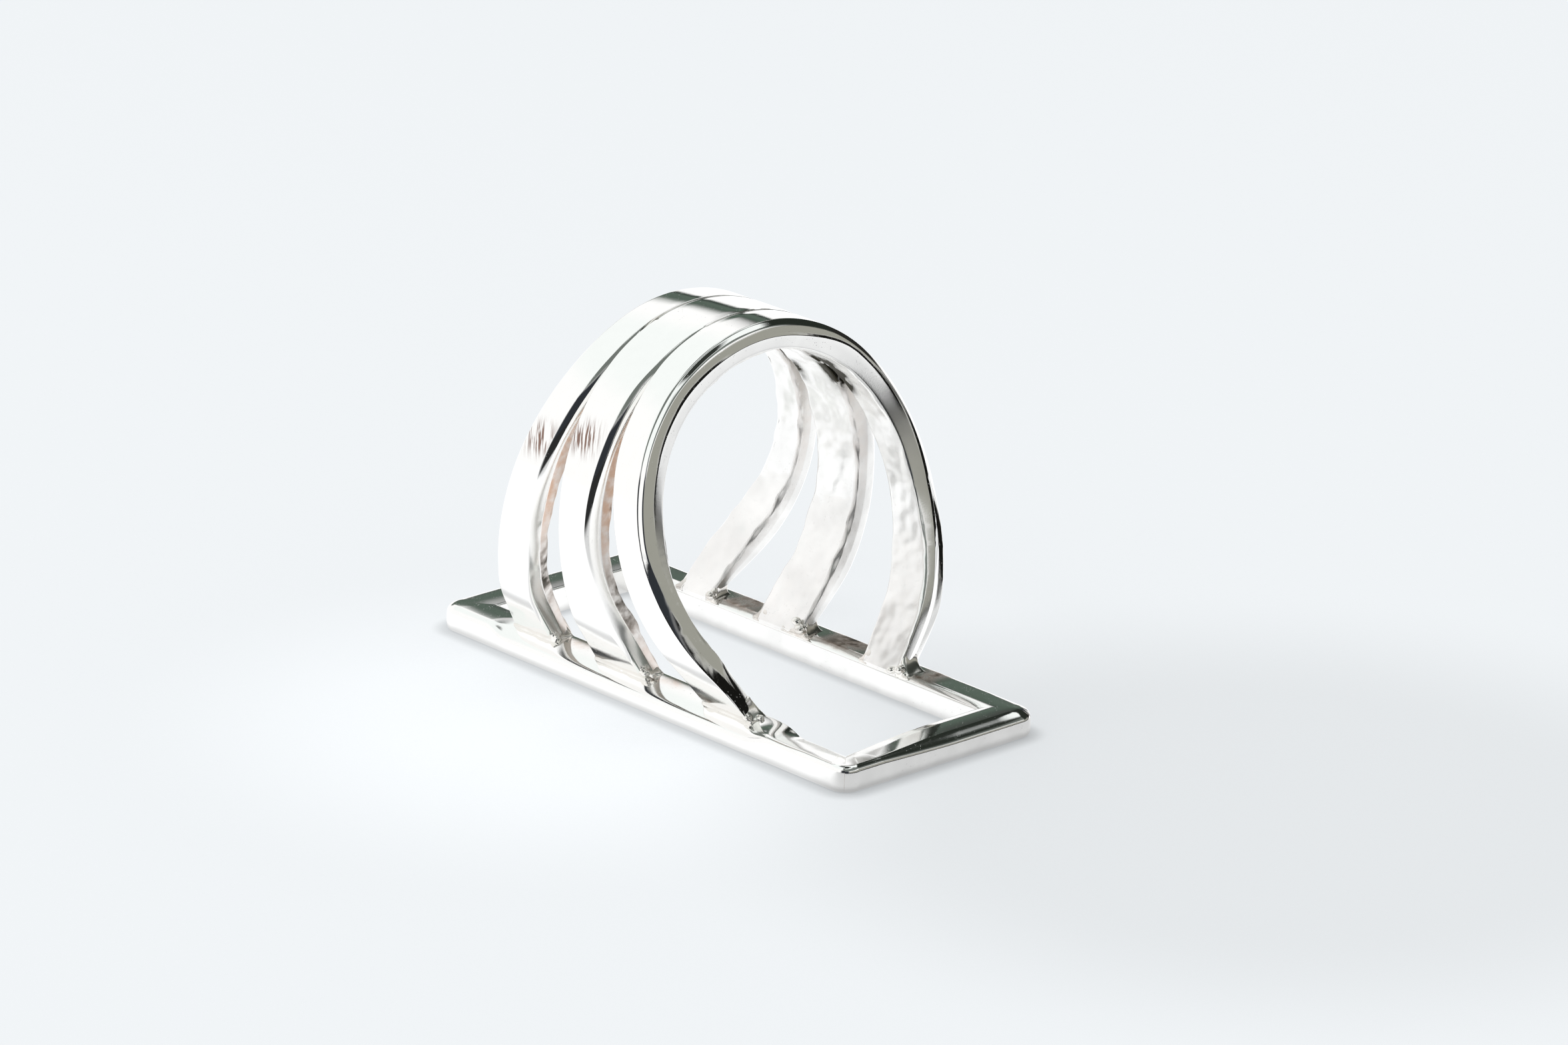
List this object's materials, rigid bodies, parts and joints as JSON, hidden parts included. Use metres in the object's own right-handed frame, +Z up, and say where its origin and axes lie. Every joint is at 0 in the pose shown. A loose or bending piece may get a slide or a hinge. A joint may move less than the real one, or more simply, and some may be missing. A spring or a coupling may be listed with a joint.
{
  "type": "finger ring",
  "caption": "Silver finger ring: flat hoops soldered side by side at the crown that fan out and stand on an open rectangular frame.",
  "frame": {"origin": "centre of the frame's underside, on the surface the ring stands on", "axes": "+Z up from the frame to the crown; +X along the finger and the frame's long side, towards the front hoop; +Y across the frame"},
  "size_m": [0.033, 0.0204, 0.021],
  "materials": {
    "front_hoop": "polished silver, mirror bright outside, pitted and satin inside",
    "middle_hoop": "polished silver, mirror bright outside, satin and stained inside",
    "rear_hoop": "polished silver, mirror bright outside, satin and stained inside",
    "frame": "polished silver with fine scratches and dull stains between the feet",
    "solder": "silver solder, dull and brownish where the wheel didn't reach"
  },
  "bodies": {
    "root": {"front_hoop": "front_hoop", "middle_hoop": "middle_hoop", "rear_hoop": "rear_hoop", "frame_bar_near": "frame", "frame_bar_far": "frame", "frame_bar_front": "frame", "frame_bar_rear": "frame", "crown_solder_front": "solder", "crown_solder_rear": "solder", "foot_solder_front_near": "solder", "foot_solder_front_far": "solder", "foot_solder_middle_near": "solder", "foot_solder_middle_far": "solder", "foot_solder_rear_near": "solder", "foot_solder_rear_far": "solder", "mitre_solder_front_near": "solder", "mitre_solder_front_far": "solder", "mitre_solder_rear_near": "solder", "mitre_solder_rear_far": "solder"}
  },
  "joints": []
}
